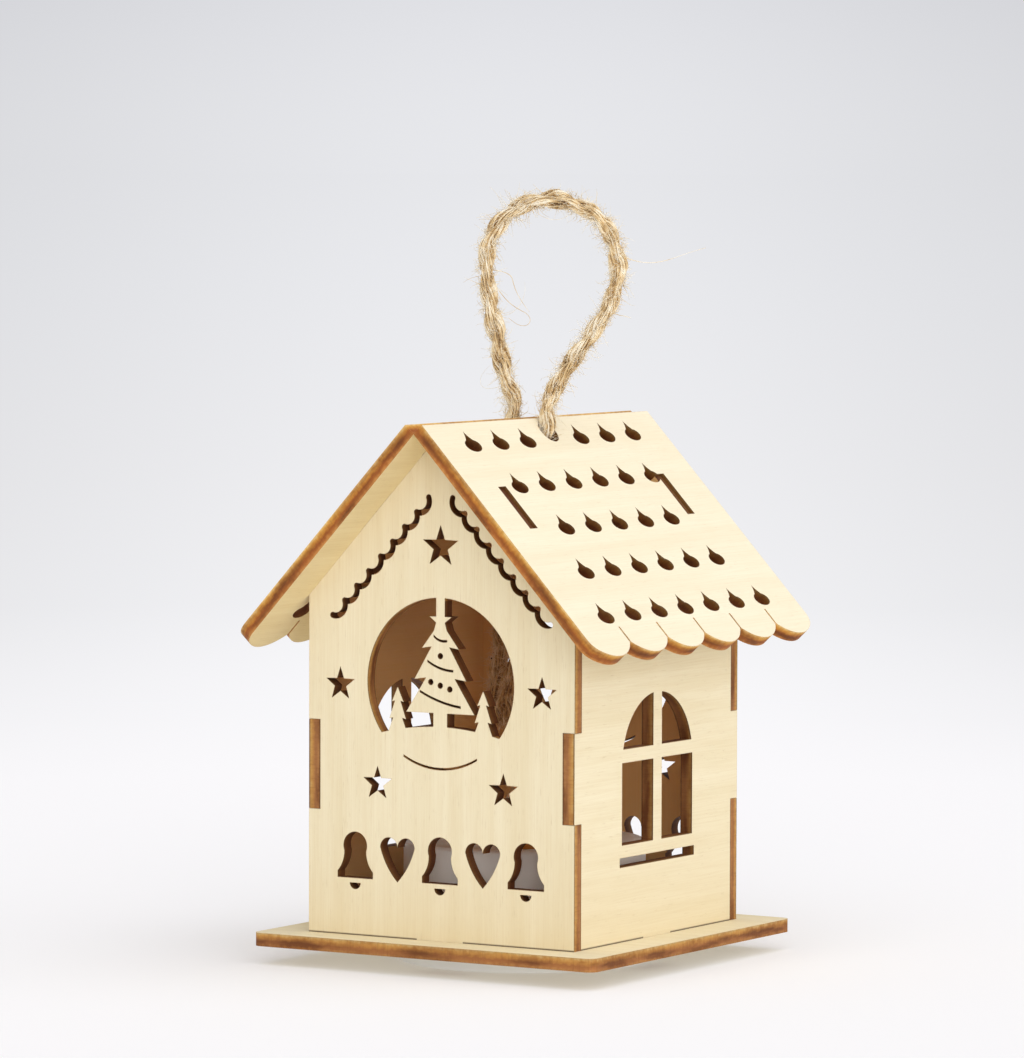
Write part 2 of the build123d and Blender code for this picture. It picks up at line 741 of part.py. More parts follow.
def contact_minus():
    """The bowed strip over the cell, held down by the bridge."""
    left = -pocket_outer - contact_overhang
    knee = cell_step_radius / 2
    high = strip_bottom + contact_thickness
    profile = make_face([
        Line((left, strip_bottom), (-knee, strip_bottom)),
        ThreePointArc((-knee, strip_bottom), (0, cell_top), (knee, strip_bottom)),
        Polyline((knee, strip_bottom), (pocket_outer, strip_bottom), (pocket_outer, high), (knee, high)),
        ThreePointArc((knee, high), (0, cell_top + contact_thickness), (-knee, high)),
        Polyline((-knee, high), (left, high), (left, strip_bottom)),
    ])
    return Location((0, pocket_middle + contact_width / 2, 0)) * extrude(Plane.XZ * profile, contact_width)


def contact_plus():
    """The strip that stands at the cell's rim and reaches over the switch."""
    half = contact_width / 2
    rim = pocket_middle + cell_radius + contact_play
    far = switch_middle + slide_width / 2
    leaf = box_between((-half, rim, lid_top), (half, rim + contact_thickness, arm_top))
    return leaf + box_between((-half, rim, arm_bottom), (half, far, arm_top))


def switch_slider():
    """The knob and the plate that runs on the lid's inner face."""
    middle = -switch_travel / 2
    low = lid_top + slide_play
    knob = box_between((middle - knob_length / 2, switch_middle - knob_width / 2, knob_bottom),
                       (middle + knob_length / 2, switch_middle + knob_width / 2, low))
    plate = box_between((middle - slide_length / 2, switch_middle - slide_width / 2, low),
                        (middle + slide_length / 2, switch_middle + slide_width / 2, low + slide_thickness))
    return knob + plate


def led():
    """The lamp: a flanged body with a domed end."""
    shoulder = led_height - led_radius
    return turned([
        Polyline((0, led_height), (0, 0), (led_flange_radius, 0), (led_flange_radius, led_flange_height),
                 (led_radius, led_flange_height), (led_radius, shoulder)),
        JernArc((led_radius, shoulder), (0, 1), led_radius, 90),
    ], post_top)


def lead(points):
    """One wire of the lamp."""
    path = FilletPolyline(*points, radius=lead_bend)
    section = Plane(origin=path @ 0, z_dir=path % 0) * Circle(lead_radius)
    return sweep(section, path=path)


def led_leads():
    """Down between the cheeks, then one to the cell's strip and one to the switch."""
    start = lead_spacing / 2
    strip_end = -pocket_outer - contact_overhang / 2
    end = arm_top + lead_gap + lead_radius
    to_cell = (
        (-start, house_middle, post_top), (-start, house_middle, lead_turn_height),
        (strip_end, pocket_middle, lead_turn_height), (strip_end, pocket_middle, strip_bottom + contact_thickness),
    )
    to_switch = (
        (start, house_middle, post_top), (start, house_middle, lead_turn_height),
        (lead_offset, house_middle, lead_turn_height), (lead_offset, switch_middle, lead_turn_height),
        (lead_offset, switch_middle, end), (-start, switch_middle, end),
    )
    return Compound(children=[lead(to_cell), lead(to_switch)])


def flame():
    """The hollow amber flame, whose collar sits in the shell's bore."""
    rings = []
    for height, radius, lean in flame_shares:
        place = Location((flame_lean * lean, house_middle, dish_bottom + flame_height * height))
        rings.append(place * Circle(flame_radius * radius))
    belly = dish_bottom + flame_height * flame_shares[1][0]
    bottom = dish_bottom - flame_collar
    collar_radius = flame_bore - flame_play
    solid = loft(rings) + raised(Circle(collar_radius), 0, house_middle, bottom, belly)
    return solid - raised(Circle(collar_radius - flame_wall), 0, house_middle, bottom, belly)


def pieces():
    """Every piece, in place, under its own name."""
    panel = right_roof()
    return {
        "base_plate": base_plate(),
        "front_gable": on_gable(-1).location * gable(),
        "rear_gable": on_gable(1).location * gable(),
        "left_wall": on_side(-1).location * side_wall(),
        "right_wall": on_side(1).location * side_wall(),
        "left_roof": mirror(panel, about=Plane.YZ),
        "right_roof": panel,
        "jute_loop": twine("jute_loop", loop_points),
        "jute_knot": jute_knot(),
        "jute_tail_left": twine("jute_tail_left", tail_left_points),
        "jute_tail_right": twine("jute_tail_right", tail_right_points),
        "tealight_shell": tealight_shell(),
        "tealight_lid": tealight_lid(),
        "battery_door": battery_door(),
        "coin_cell": coin_cell(),
        "contact_minus": contact_minus(),
        "contact_plus": contact_plus(),
        "switch_slider": switch_slider(),
        "led": led(),
        "led_leads": led_leads(),
        "flame": flame(),
    }


os.makedirs("parts", exist_ok=True)
for name, piece in pieces().items():
    export_step(piece, f"parts/{name}.step")
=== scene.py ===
import math

import bpy
import numpy as np
from mathutils import Matrix, Vector


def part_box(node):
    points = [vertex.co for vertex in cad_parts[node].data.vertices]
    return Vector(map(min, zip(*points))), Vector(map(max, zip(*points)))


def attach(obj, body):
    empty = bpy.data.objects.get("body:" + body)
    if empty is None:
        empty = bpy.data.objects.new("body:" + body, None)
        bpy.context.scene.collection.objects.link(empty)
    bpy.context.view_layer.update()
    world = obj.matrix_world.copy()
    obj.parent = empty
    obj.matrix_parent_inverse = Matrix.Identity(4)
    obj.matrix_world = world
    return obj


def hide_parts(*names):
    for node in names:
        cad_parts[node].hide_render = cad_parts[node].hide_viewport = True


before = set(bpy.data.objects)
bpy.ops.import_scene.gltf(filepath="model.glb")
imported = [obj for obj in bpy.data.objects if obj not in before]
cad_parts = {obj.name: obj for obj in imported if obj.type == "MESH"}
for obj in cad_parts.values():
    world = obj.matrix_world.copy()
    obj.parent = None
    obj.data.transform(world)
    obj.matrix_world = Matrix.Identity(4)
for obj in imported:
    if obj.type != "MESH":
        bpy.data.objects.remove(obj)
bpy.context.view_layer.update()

# Metres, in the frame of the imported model. A shader works in millimetres.
mm = 0.001

# Camera
camera_place = (0.48712, -0.80256, 0.11912)
camera_azimuth = math.radians(31.413)
camera_elevation = math.radians(3.335)
camera_roll = math.radians(-0.174)
focal_share = 5.9264       # focal length over the picture's height
camera_sensor = 36.0       # the sensor's longer side, millimetres
camera_near = 0.05
camera_far = 200.0

# Plywood
ply = 2.0 * mm
roof_pitch = math.radians(47.0)
foot_tab = 8.0 * mm
hole_margin = 3.0 * mm     # the roof's holes lie this far inside its front and rear edges
hole_start = 1.4 * mm      # and between these places down its slope
hole_end = 39.2 * mm
ring_height = 43.15 * mm   # the gables' round window
ring_radius = 12.7 * mm
room_end = 33.2 * mm       # the room's painted shade reaches this far down the roof's inner face

# Small openings' cut walls are painted darker than the outlines, as shade in these recesses; the
# outlines lie within these margins
ring_edge = 0.8 * mm       # to each side of the round window's edge
gable_margin = 1.0 * mm    # inside a gable's two sides
end_margin = 4.0 * mm      # inside a side wall's ends, from the gables
corner_margin = 5.0 * mm   # inside its foot and top

# Plywood's surface
corner_scorch = 0.22 * mm  # how far a face is browned beside a cut
foot_shade_full = 2.0 * mm  # painted shade: a panel is warmer and darker up to this height above the base
foot_shade = 20.0 * mm     # and no more from here
foot_gap_shadow_full = 0.08 * mm  # painted shadow: its joint with the base is dark up to this height
foot_gap_shadow = 0.32 * mm     # and no more from here
wood_relief = 0.06 * mm
face_limit = 0.5           # of a normal along its panel's own: more on a face, less on a cut edge
pattern_step = 7.3         # between one panel's pattern and the next

# Plywood's tones
bare_tones = ((0.3, (0.800, 0.690, 0.460)), (0.7, (0.860, 0.765, 0.545)))
streak_tone = (0.70, 0.55, 0.32)
fleck_tone = (0.55, 0.39, 0.20)
# Warm: for random mottle on a face, and for the painted shade near a panel's foot
warm_mottle_and_shade_tone = (0.74, 0.60, 0.36)
# Painted light: the paler tone of a roof's outer face, standing for light from above
painted_light_tone = (0.92, 0.86, 0.76)
# Painted shade: a roof's inner face multiplied warmer and darker
underside_shade_tint = (1.0, 0.94, 0.77)
# Painted shade: the warm brown that inner faces take, standing for the shade inside the house
interior_shade_tone = (0.80, 0.375, 0.080)
corner_tone = (0.42, 0.225, 0.08)
# Painted shadow in the gap where a panel stands on the base
joint_shadow_tone = (0.045, 0.018, 0.007)

# A cut edge's tones, from the sheet's inner face to its outer one
toasted_tones = (
    (0.0, (0.56, 0.25, 0.065)), (0.22, (0.40, 0.130, 0.025)), (0.42, (0.33, 0.090, 0.014)),
    (0.66, (0.54, 0.220, 0.032)), (0.85, (0.66, 0.340, 0.070)), (1.0, (0.78, 0.55, 0.23)),
)
burnt_tones = (
    (0.0, (0.30, 0.105, 0.020)), (0.2, (0.140, 0.040, 0.008)), (0.5, (0.120, 0.034, 0.007)),
    (0.75, (0.28, 0.100, 0.018)), (1.0, (0.56, 0.32, 0.11)),
)
dull_edge_tone = (0.34, 0.205, 0.090)
scratch_tone = (0.12, 0.040, 0.010)
side_line_tone = (0.060, 0.022, 0.008)
# Painted shade on the cut walls of small openings
opening_shade_tone = (0.075, 0.018, 0.003)

# Jute twine: two plies, each of many fibres round a core
twine_diameter = 2.6 * mm
twine_pitch = 10.5 * mm    # one turn of a ply about the other
twine_step = 0.22 * mm
ply_offset = 0.52 * mm     # a ply's centre from the twine's
ply_core = 0.66 * mm
ply_reach = 0.72 * mm      # a fibre's centre from its ply's
fibre_radius = 0.12 * mm
fibre_count = 19
fibre_pitch = -15.0 * mm   # one turn of a fibre about its ply, the other way round
core_corners = 8
fibre_corners = 5
# Painted shade: the cores are dark, standing for the shade between the fibres
core_shade_tone = 0.12
fibre_tones = (0.2, 1.0)
fibre_widths = (0.75, 1.35)

# How twine varies: the length over which each thing changes, and how much
swell_change = (5.0 * mm, 0.12)
turn_change = (6.0 * mm, 0.5)
offset_change = (7.0 * mm, 0.25)
fibre_turn_change = (3.0 * mm, 0.6)
fibre_reach_change = (2.5 * mm, 0.14)
fibre_width_change = (2.0 * mm, 0.2)

# A frayed end
fray_length = 5.0 * mm
fray_spread = 1.4          # how much further out its fibres end, as a share
core_cut_share = 0.3       # of the frayed length, by which the core stops short
fibre_cut_share = 0.6      # and by which a fibre may, at most
whole_fibre_step = 3       # apart from one in this many, which are whole

# Knot
knot_top = 72.3 * mm
knot_bottom = 64.9 * mm
knot_overrun = 0.3 * mm    # its straight strands reach this far past it
knot_strand = 1.55 * mm    # each strand in the knot from its middle
knot_wrap = 2.85 * mm      # the wraps' centre from the knot's axis
knot_turns = 1.95
knot_steps = 90
tuck_share = 0.12          # of the wrap, over which each end goes in
tucked_share = 0.35        # of its radius, where it ends

# The twine's routes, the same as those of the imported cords
loop_points = (
    (0.00155, 0.0, 0.0723), (0.00155, 0.0, 0.07645), (0.00344, 0.0, 0.0802),
    (0.0026, 0.0005, 0.0835), (0.0051, 0.0015, 0.0879), (0.0082, 0.0023, 0.0924),
    (0.0113, 0.003, 0.0966), (0.0133, 0.0035, 0.1013), (0.0133, 0.0034, 0.1067),
    (0.0105, 0.0028, 0.1112), (0.0056, 0.0017, 0.1139), (0.0001, 0.0004, 0.1138),
    (-0.0046, -0.0007, 0.1112), (-0.007, -0.0012, 0.1063), (-0.0069, -0.0012, 0.1006),
    (-0.0056, -0.0009, 0.0954), (-0.0048, -0.0007, 0.0906), (-0.0037, -0.0004, 0.0867),
    (-0.0024, -0.0001, 0.0834), (-0.00344, 0.0, 0.0802), (-0.00155, 0.0, 0.07645),
    (-0.00155, 0.0, 0.0723),
)
tail_left_points = (
    (-0.00155, 0.0, 0.0649), (-0.00155, 0.0, 0.0606), (-0.003, 0.0005, 0.0553),
    (-0.0049, 0.0003, 0.0496), (-0.0056, 0.0009, 0.0436), (-0.0069, 0.0006, 0.0382),
    (-0.0067, 0.001, 0.034),
)
tail_right_points = (
    (0.00155, 0.0, 0.0649), (0.00155, 0.0, 0.0606), (0.0005, -0.0006, 0.0554),
    (-0.0011, -0.0009, 0.0499), (-0.0015, -0.0016, 0.0441), (-0.0029, -0.0017, 0.0389),
    (-0.0028, -0.0021, 0.0349),
)
loop_length = 0.0997
tail_left_length = 0.0316
tail_right_length = 0.0306
route_steps = 24           # between two points of a route
jute_seed = 11

# Short stray fibres: how many to a millimetre of twine, their least and greatest length, how far
# they may bend in all, and in how many steps
hair_kinds = (
    (30, 0.6 * mm, 1.5 * mm, 2.5, 5),
    (9, 1.0 * mm, 3.0 * mm, 2.0, 9),
    (1 / 7, 4.0 * mm, 10.0 * mm, 3.5, 16),
)
hair_radius = 0.042 * mm
hair_corners = 3
hair_tip_share = 0.45      # of its radius, at its end
hair_root_share = 0.38     # of the twine's diameter, from its middle to where a fibre leaves it
hair_lean = 1.6            # how far a fibre may lean along the twine, against straight out
hair_jitter = 0.05         # how unsteadily it bends
hair_tones = (0.9, 1.3)
hair_top = 116.5 * mm      # none reaches higher

# Long stray fibres of the loop
stray_radius = 0.06 * mm
stray_corners = 4
stray_tip_share = 0.5
stray_tones = (0.6, 0.9)
stray_points = (
    ((0.013, 0.0035, 0.1059), (0.0142, 0.0042, 0.1051), (0.016, 0.0053, 0.1045),
     (0.0179, 0.0064, 0.1044), (0.02, 0.0078, 0.105), (0.0222, 0.0091, 0.106),
     (0.0243, 0.0105, 0.1067)),
    ((0.0123, 0.003, 0.0971), (0.0132, 0.0036, 0.0966), (0.0141, 0.0041, 0.0965),
     (0.0149, 0.0046, 0.0962)),
    ((-0.0062, -0.0008, 0.1014), (-0.0053, -0.0003, 0.1002), (-0.0042, 0.0003, 0.0985),
     (-0.0027, 0.0011, 0.0973), (-0.0014, 0.0018, 0.0966), (-0.001, 0.002, 0.0956),
     (-0.0015, 0.0017, 0.0948), (-0.0028, 0.0009, 0.0949), (-0.0039, 0.0003, 0.096)),
    ((-0.0062, -0.0006, 0.1032), (-0.0038, 0.0008, 0.1029), (-0.0034, 0.001, 0.1006),
     (-0.0023, 0.0015, 0.0983), (-0.0013, 0.002, 0.0969)),
)

# Jute's tones
jute_tones = (
    (0.12, (0.11, 0.055, 0.017)), (0.34, (0.38, 0.225, 0.085)), (0.58, (0.68, 0.480, 0.235)),
    (0.78, (0.86, 0.700, 0.450)), (0.95, (0.96, 0.87, 0.70)),
)
# Painted shade: the twine inside the house is tinted darker and warmer, and the loop outside not at all
no_shade_tint = (1.0, 1.0, 1.0)
interior_shade_tint = (0.86, 0.66, 0.47)
fibre_tone_share = 0.52    # of a fibre's own tone in its colour, beside the cloud over all of them

# Tealight's colours
white = (0.90, 0.88, 0.84)
black = (0.035, 0.035, 0.04)
steel = (0.62, 0.62, 0.63)
tin = (0.75, 0.74, 0.70)
lamp_tones = ((0.95, 0.80, 0.42), (0.90, 0.70, 0.28))
flame_tones = ((0.0, (0.78, 0.30, 0.045)), (0.5, (0.93, 0.48, 0.085)), (1.0, (0.98, 0.68, 0.22)))
flame_foot = 15.0 * mm     # the heights of its first and last tone
flame_top = 32.0 * mm
flame_relief = 0.05 * mm
plastic_relief = 0.02 * mm
plastic_dull_share = 0.975  # of the colour, where it is dullest
metal_relief = 0.01 * mm
metal_dull_share = 0.8
metal_stretch = (0.4, 9.0)  # how fine its lines are, along and across them

# Light: the share of white that each source gives a white face turned towards it
ambient_level = 0.56
key_level = 0.56
key_direction = (0.58, -0.28, 0.76)
key_softness = math.radians(100.0)
fill_level = 0.22
fill_direction = (0.62, -0.77, 0.12)
fill_softness = math.radians(40.0)

# Backdrop: the floor's tones outwards to the horizon, and the sky's from there upwards
floor_tone = (0.94, 0.928, 0.945)
floor_tones = (
    (0.0, (0.94, 0.925, 0.945)), (0.22, (0.935, 0.925, 0.945)), (0.33, (0.87, 0.865, 0.885)),
    (0.43, (0.80, 0.80, 0.82)), (0.6, (0.765, 0.765, 0.785)), (0.85, (0.725, 0.73, 0.755)),
    (1.0, (0.70, 0.705, 0.73)),
)
sky_tones = ((0.0, (0.70, 0.705, 0.73)), (0.25, (0.655, 0.66, 0.69)), (1.0, (0.60, 0.61, 0.64)))
sky_end = 0.08             # the sky is even where a direction of length 1 rises by more than this
backdrop_edge = 0.11       # painted light: the backdrop is paler in its middle, and even from here outwards
sky_gain = 0.14            # how much paler it is there, on the sky
floor_near_gain = 0.05     # and on the floor, near
floor_far_gain = 0.13      # and far away
floor_share = 0.12         # of painted tone on the floor round the object, the rest being lit
shadow_reach = 0.10        # it grows from this distance on
shadow_end = 0.45          # and is whole from here
under_reach = 0.028        # light passes the floor up to this distance from the middle
under_end = 0.045          # and no more from here
floor_reach = 60.0


def make_camera():
    """The camera that the photograph was taken with."""
    flat = math.cos(camera_elevation)
    look = -Vector((math.sin(camera_azimuth) * flat, -math.cos(camera_azimuth) * flat,
                    math.sin(camera_elevation)))
    level = Vector((math.cos(camera_azimuth), math.sin(camera_azimuth), 0))
    down = look.cross(level)
    right = level * math.cos(camera_roll) + down * math.sin(camera_roll)
    down = down * math.cos(camera_roll) - level * math.sin(camera_roll)
    turn = Matrix((right, -down, -look)).transposed()
    data = bpy.data.cameras.new("camera")
    data.sensor_fit = "AUTO"
    data.sensor_width = camera_sensor
    data.lens = camera_sensor * focal_share
    data.clip_start = camera_near
    data.clip_end = camera_far
    camera = bpy.data.objects.new("camera", data)
    camera.matrix_world = Matrix.Translation(camera_place) @ turn.to_4x4()
    bpy.context.scene.collection.objects.link(camera)
    bpy.context.scene.camera = camera


class Shader:
    """A material's or world's node tree, with short calls that add nodes and join them."""

    def __init__(self, owner):
        owner.use_nodes = True
        self.owner = owner
        self.tree = owner.node_tree

    def add(self, kind, sockets=(), **settings):
        """A node with its settings, and with sockets set or joined by their names or numbers."""
        node = self.tree.nodes.new("ShaderNode" + kind)
        for name, value in settings.items():
            setattr(node, name, value)
        for name, value in dict(sockets).items():
            self.put(node.inputs[name], value)
        return node

    def put(self, socket, value):
        if isinstance(value, bpy.types.NodeSocket):
            self.tree.links.new(value, socket)
        else:
            socket.default_value = value

    def math(self, operation, *values):
        return self.add("Math", enumerate(values), operation=operation).outputs[0]

    def plus(self, first, second):
        return self.math("ADD", first, second)

    def minus(self, first, second):
        return self.math("SUBTRACT", first, second)

    def times(self, first, second):
        return self.math("MULTIPLY", first, second)

    def apart(self, first, second):
        """How far apart two values are."""
        return self.math("ABSOLUTE", self.minus(first, second))

    def less(self, value, limit):
        return self.math("LESS_THAN", value, limit)

    def more(self, value, limit):
        return self.math("GREATER_THAN", value, limit)

    def highest(self, first, second):
        """The greater of two values."""
        return self.math("MAXIMUM", first, second)

    def dot(self, vector, direction):
        sockets = enumerate((vector, direction))
        return self.add("VectorMath", sockets, operation="DOT_PRODUCT").outputs["Value"]

    def vector(self, x, y, z):
        return self.add("CombineXYZ", enumerate((x, y, z))).outputs[0]

    def noise(self, vector, scale=1.0, detail=2.0):
        """Noise, with a scale in features to a unit of the vector."""
        sockets = {"Vector": vector, "Scale": scale, "Detail": detail}
        return self.add("TexNoise", sockets).outputs["Fac"]

    def ramp(self, value, stops):
        node = self.add("ValToRGB", {"Fac": value})
        elements = node.color_ramp.elements
        while len(elements) < len(stops):
            elements.new(1.0)
        for element, (place, colour) in zip(elements, stops):
            element.position = place
            element.color = (*colour, 1.0)
        return node.outputs["Color"]

    def between(self, value, low, high, to_low=0.0, to_high=1.0):
        """A smooth step of a value between two places, from one result to another."""
        sockets = {"Value": value, "From Min": low, "From Max": high,
                   "To Min": to_low, "To Max": to_high}
        return self.add("MapRange", sockets, interpolation_type="SMOOTHSTEP").outputs[0]

    def mix(self, factor, first, second, blend="MIX"):
        """Two colours mixed, through the colour sockets of a node that has others too."""
        node = self.add("Mix", data_type="RGBA", blend_type=blend)
        self.put(node.inputs[0], factor)
        for socket, value in zip(node.inputs[6:8], (first, second)):
            self.put(socket, value if isinstance(value, bpy.types.NodeSocket) else (*value, 1.0))
        return node.outputs[2]

    def either(self, factor, first, second):
        """One shader where the factor is 0 and another where it is 1."""
        return self.add("MixShader", {0: factor, 1: first, 2: second}).outputs[0]

    def bump(self, height, distance, strength):
        sockets = {"Height": height, "Distance": distance, "Strength": strength}
        return self.add("Bump", sockets).outputs["Normal"]

    def place(self):
        """Object coordinates in millimetres."""
        coordinates = self.add("TexCoord").outputs["Object"]
        scale = self.add("VectorMath", {0: coordinates, "Scale": 1 / mm}, operation="SCALE")
        return scale.outputs[0]


def new_surface(name):
    """A material with its principled shader."""
    shader = Shader(bpy.data.materials.new(name))
    return shader, shader.tree.nodes["Principled BSDF"].inputs


def seen(shader):
    """1 where a camera, mirror or clear piece sees the surface itself, and 0 where it lights."""
    path = shader.add("LightPath").outputs
    plain = shader.highest(path["Is Camera Ray"], path["Is Glossy Ray"])
    return shader.highest(plain, path["Is Transmission Ray"])


class Panel:
    """A plywood panel in its shader: where a point lies on it, and which way its surface faces."""

    def __init__(self, shader, grain, across, outward, inner_face):
        self.shader = shader
        self.point = shader.place()
        self.along = shader.dot(self.point, grain)
        self.over = shader.dot(self.point, across)
        self.out = shader.dot(self.point, outward)
        self.layer = shader.math("DIVIDE", shader.minus(self.out, inner_face / mm), ply / mm)
        self.facing = shader.dot(shader.add("TexCoord").outputs["Normal"], outward)

    def cloud(self, scale, out_scale, detail=2.0):
        """Noise with a scale of its own through the sheet."""
        shader = self.shader
        place = shader.vector(shader.times(self.along, scale), shader.times(self.over, scale),
                              shader.times(self.out, out_scale))
        return shader.noise(place, detail=detail)

    def beside(self, middle, half):
        """1 within a length along the grain that a middle and a half length give."""
        return self.shader.less(self.shader.apart(self.along, middle / mm), half / mm)

    def before(self, end):
        """1 up to a place across the grain."""
        return self.shader.less(self.over, end / mm)


def bare_face(panel, seed):
    """A face's tone, with its fine streaks and flecks. The grain wavers a little to each side."""
    shader = panel.shader
    drift = shader.noise(shader.vector(
        shader.times(panel.along, 0.02), shader.times(panel.over, 0.05), seed))
    bent = shader.plus(panel.over, drift)

    def streaks(along, over, shift):
        place = shader.vector(shader.times(panel.along, along), shader.times(bent, over), seed + shift)
        return shader.noise(place, detail=3.0)

    broad = streaks(along=0.02, over=0.35, shift=1.0)
    fine = streaks(along=0.10, over=4.5, shift=2.0)
    fleck = streaks(along=0.45, over=6.5, shift=3.0)
    mottle = shader.noise(panel.point, scale=0.12)
    face = shader.ramp(broad, bare_tones)
    face = shader.mix(shader.between(fine, 0.35, 0.75, to_high=0.26), face, streak_tone)
    face = shader.mix(shader.between(fleck, 0.63, 0.74, to_high=0.34), face, fleck_tone)
    face = shader.mix(shader.between(mottle, 0.5, 0.8, to_high=0.16), face, warm_mottle_and_shade_tone)
    return face, fine, fleck


def cut_edge(panel, dull, lines):
    """A cut edge's tone, with its scratches: toasted layers, burnt in patches."""
    shader = panel.shader
    grit = shader.minus(shader.noise(panel.point, scale=1.3, detail=4.0), 0.5)
    layer = shader.plus(panel.layer, shader.times(grit, 0.45))
    toasted = shader.mix(dull, shader.ramp(layer, toasted_tones), dull_edge_tone)
    blotch = panel.cloud(scale=0.11, out_scale=0.6, detail=4.0)
    burnt = shader.between(blotch, 0.42, 0.66, to_high=0.85)
    scratch = panel.cloud(scale=3.2, out_scale=0.45)
    side = shader.apart(panel.layer, 0.5)
    edge = shader.mix(burnt, toasted, shader.ramp(layer, burnt_tones))
    edge = shader.mix(shader.between(scratch, 0.48, 0.74, to_high=0.22), edge, scratch_tone)
    edge = shader.mix(shader.between(side, 0.32, 0.47, to_high=lines), edge, side_line_tone)
    return edge, scratch


def openings(panel, cuts, ring):
    """1 in the part of a panel that holds its small openings, apart from a round window's edge."""
    shader = panel.shader
    middle, half, start, end = cuts
    across = shader.times(shader.more(panel.over, start / mm), panel.before(end))
    holes = shader.times(panel.beside(middle, half), across)
    if ring:
        height, radius = ring
        up = shader.minus(panel.along, height / mm)
        square = shader.plus(shader.times(up, up), shader.times(panel.over, panel.over))
        off = shader.apart(shader.math("SQRT", square), radius / mm)
        holes = shader.times(holes, shader.more(off, ring_edge / mm))
    return holes


def scorched_corners(shader, face):
    """A face browned beside its cuts."""
    corner = shader.add("Bevel", {"Radius": corner_scorch}, samples=4).outputs[0]
    normal = shader.add("NewGeometry").outputs["Normal"]
    sharp = shader.minus(1.0, shader.dot(corner, normal))
    return shader.mix(shader.between(sharp, 0.0, 0.28, to_high=0.62), face, corner_tone)


def shaded_foot(panel, face, foot):
    """A face with painted shade, warmer and darker near the base, and a painted shadow line at its
    joint with the base except at the tab.
    """
    shader = panel.shader
    direction, middle, height = foot
    off = shader.apart(shader.dot(panel.point, direction), middle / mm)
    rise = shader.minus(shader.dot(panel.point, (0, 0, 1)), height / mm)
    shade = shader.between(rise, foot_shade_full / mm, foot_shade / mm, 0.30, 0.0)
    low = shader.between(rise, foot_gap_shadow_full / mm, foot_gap_shadow / mm, 0.85, 0.0)
    joint = shader.times(low, shader.more(off, foot_tab / mm / 2))
    return shader.mix(joint, shader.mix(shade, face, warm_mottle_and_shade_tone), joint_shadow_tone)


def plywood(name, grain, across, outward, inner_face, seed, interior_shade=0.0, foot=None, cuts=None,
            depth=0.8, ring=None, room=None, pale=0.0, dull=0.0, lines=0.0):
    """Pale plywood: grain on its faces, painted shade on its inner face, and scorched layers on its cut
    edges.

    A foot gives the direction along a panel's foot, the foot's middle and its height, where it takes
    painted shade and a painted shadow line. Cuts give the middle and half length along the grain and
    the start and end across it of the part whose small openings get painted shade on their cut walls,
    depth how dark it is, and a ring the height and radius of a round window that doesn't. A room gives
    the middle and half length along the grain and the end across it of the part of the inner face that
    takes the house's painted shade;
    with a room the whole inner face is also made warmer and darker as painted shade. Pale is how far
    the outer face is made paler as painted light, dull how grey the cut edge is, and lines how dark the
    edge's two sides are.
    """
    shader, surface = new_surface(name)
    panel = Panel(shader, grain, across, outward, inner_face)
    face, fine, fleck = bare_face(panel, seed)
    edge, scratch = cut_edge(panel, dull, lines)
    if cuts:
        # painted shade: small openings' cut walls darker, as shade in these recesses
        edge = shader.mix(shader.times(openings(panel, cuts, ring), depth), edge, opening_shade_tone)
    face = scorched_corners(shader, face)
    outer = shader.more(panel.facing, face_limit)
    inside = shader.times(shader.less(panel.facing, -face_limit), interior_shade)
    # painted light: the outer face made paler where pale is given
    face = shader.mix(shader.times(outer, pale), face, painted_light_tone)
    if room:
        middle, half, end = room
        inside = shader.times(inside, shader.times(panel.beside(middle, half), panel.before(end)))
        # painted shade: the roof's underside made warmer and darker
        face = shader.mix(shader.minus(1.0, outer), face, underside_shade_tint, "MULTIPLY")
    # painted shade: the inner face darker and warmer, as the shade inside the house
    face = shader.mix(inside, face, interior_shade_tone)
    if foot:
        face = shaded_foot(panel, face, foot)
    on_face = shader.more(shader.math("ABSOLUTE", panel.facing), face_limit)
    shader.put(surface["Base Color"], shader.mix(on_face, edge, face))
    surface["Specular IOR Level"].default_value = 0.28
    shader.put(surface["Roughness"], shader.between(fine, 0.3, 0.7, 0.62, 0.78))
    ridges = shader.plus(shader.times(fine, 0.5), shader.times(scratch, 0.3))
    relief = shader.minus(ridges, shader.between(fleck, 0.62, 0.74, to_high=0.5))
    shader.put(surface["Normal"], shader.bump(relief, wood_relief, 0.6))
    return shader.owner


def jute(name, shade_tint):
    """Tan fibres, each with a tone of its own, under a tint of painted shade."""
    shader, surface = new_surface(name)
    tone = shader.add("Attribute", attribute_name="tone").outputs["Fac"]
    patches = shader.noise(shader.place(), scale=0.42, detail=3.0)
    cloud = shader.between(patches, 0.32, 0.68, 0.12, 0.55)
    colour = shader.ramp(shader.plus(shader.times(tone, fibre_tone_share), cloud), jute_tones)
    shader.put(surface["Base Color"], shader.mix(1.0, colour, shade_tint, "MULTIPLY"))
    surface["Roughness"].default_value = 0.72
    surface["Specular IOR Level"].default_value = 0.35
    surface["Sheen Weight"].default_value = 0.25
    surface["Sheen Roughness"].default_value = 0.5
    return shader.owner


def plastic(name, colour, roughness):
    """Moulded plastic with a faint texture and slight unevenness of tone."""
    shader, surface = new_surface(name)
    place = shader.place()
    cloud = shader.noise(place, scale=0.25)
    dull = tuple(plastic_dull_share * value for value in colour)
    shader.put(surface["Base Color"], shader.mix(shader.between(cloud, 0.35, 0.7), colour, dull))
    shader.put(surface["Roughness"], shader.between(cloud, 0.3, 0.7, roughness, roughness + 0.1))
    texture = shader.noise(place, scale=5.0)
    shader.put(surface["Normal"], shader.bump(texture, plastic_relief, 0.35))
    return shader.owner


